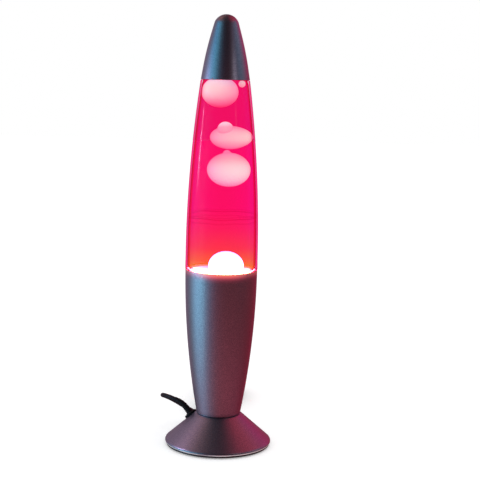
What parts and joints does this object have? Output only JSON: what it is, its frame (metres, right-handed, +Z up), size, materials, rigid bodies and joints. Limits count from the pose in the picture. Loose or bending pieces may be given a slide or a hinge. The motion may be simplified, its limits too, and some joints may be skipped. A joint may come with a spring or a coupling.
{
  "type": "lava lamp",
  "caption": "Rocket-shaped wax lamp: flared metal foot and cup with a bulb, a tapering glass bottle of pink liquid and wax, a metal nose cap, and a mains lead with switch and plug.",
  "frame": {"origin": "centre of the footprint, on the table", "axes": "+Z up along the lamp, front of the lamp towards -Y, lead leaves at the left rear"},
  "size_m": [0.1092, 0.2548, 0.41],
  "materials": {
    "gunmetal": "satin metallic lacquer, gunmetal",
    "spun_steel": "spun steel",
    "brass": "plain brass",
    "zinc_steel": "zinc plated steel",
    "holder_plastic": "black thermoset",
    "base_plastic": "black, fine texture",
    "rubber_black": "black rubber",
    "clamp_nylon": "natural nylon",
    "lead_pvc": "black flexible PVC",
    "switch_plastic": "black ABS",
    "wire_brown": "brown PVC",
    "wire_blue": "blue PVC",
    "plated_pin": "nickel plated",
    "bulb_clear": "reflector bulb glass",
    "vitrite": "black vitrite glass",
    "tungsten": "tungsten and nickel wire",
    "lamp_glass": "clear soda glass",
    "liquid_pink": "dyed water, magenta",
    "wax_glow": "molten wax lit by the bulb",
    "wax_pink": "molten wax",
    "liner_foam": "sealing foam"
  },
  "bodies": {
    "base": {"foot_shell": "gunmetal", "base_shell": "gunmetal", "bottle_seat": "spun_steel", "threaded_tube": "brass", "tube_washer": "zinc_steel", "tube_nut": "zinc_steel", "lampholder_cap": "holder_plastic", "lampholder_body": "holder_plastic", "lampholder_shell": "brass", "lampholder_contact": "brass", "lampholder_terminals": "brass", "wire_live": "wire_brown", "wire_neutral": "wire_blue", "standoffs": "zinc_steel", "base_plate": "base_plastic", "base_plate_screws": "zinc_steel", "anti_slip_ring": "rubber_black", "strain_relief": "rubber_black", "inner_cord": "lead_pvc", "cord_clamp": "clamp_nylon", "clamp_screws": "zinc_steel", "power_cord": "lead_pvc", "switch_lower_case": "switch_plastic", "switch_upper_case": "switch_plastic", "switch_terminals": "brass", "switch_screws": "zinc_steel", "switch_cord": "lead_pvc", "cord_hank": "lead_pvc", "hank_tie": "rubber_black", "plug_tail": "lead_pvc", "plug_body": "switch_plastic", "plug_pins": "plated_pin"},
    "bottle": {"glass_bottle": "lamp_glass", "lamp_liquid": "liquid_pink", "wax_pool": "wax_glow", "wax_blob_large": "wax_pink", "wax_blob_middle": "wax_pink", "wax_bead": "wax_pink", "wax_blob_top": "wax_pink", "wax_droplet": "wax_pink", "wire_coil": "tungsten", "crown_cap": "zinc_steel", "crown_liner": "liner_foam"},
    "top_cap": {"top_cap": "gunmetal"},
    "bulb_carrier": {"bulb_contact": "zinc_steel"},
    "bulb": {"bulb_insulator": "vitrite", "bulb_screw_shell": "plated_pin", "bulb_glass": "bulb_clear", "bulb_stem": "bulb_clear", "filament": "tungsten"},
    "switch_rocker": {"switch_rocker": "switch_plastic"}
  },
  "joints": [
    {"name": "bottle_lift", "type": "slide", "parent": "base", "child": "bottle", "axis": [0, 0, 1], "range_m": [0, 0.06]},
    {"name": "cap_lift", "type": "slide", "parent": "bottle", "child": "top_cap", "axis": [0, 0, 1], "range_m": [0, 0.06]},
    {"name": "bulb_rise", "type": "slide", "parent": "base", "child": "bulb_carrier", "axis": [0, 0, 1], "range_m": [0, 0.00847]},
    {"name": "bulb_turn", "type": "hinge", "parent": "bulb_carrier", "child": "bulb", "pos_m": [0, 0, 0.09], "axis": [0, 0, 1], "range_deg": [0, 1080]},
    {"name": "rocker_tilt", "type": "hinge", "parent": "base", "child": "switch_rocker", "pos_m": [-0.013, 0.113, 0.0136], "axis": [1, 0, 0], "range_deg": [0, 14]}
  ],
  "couplings": [
    {"joint": "bulb_turn", "follows": "bulb_rise", "rad_per_m": 2226.3}
  ]
}
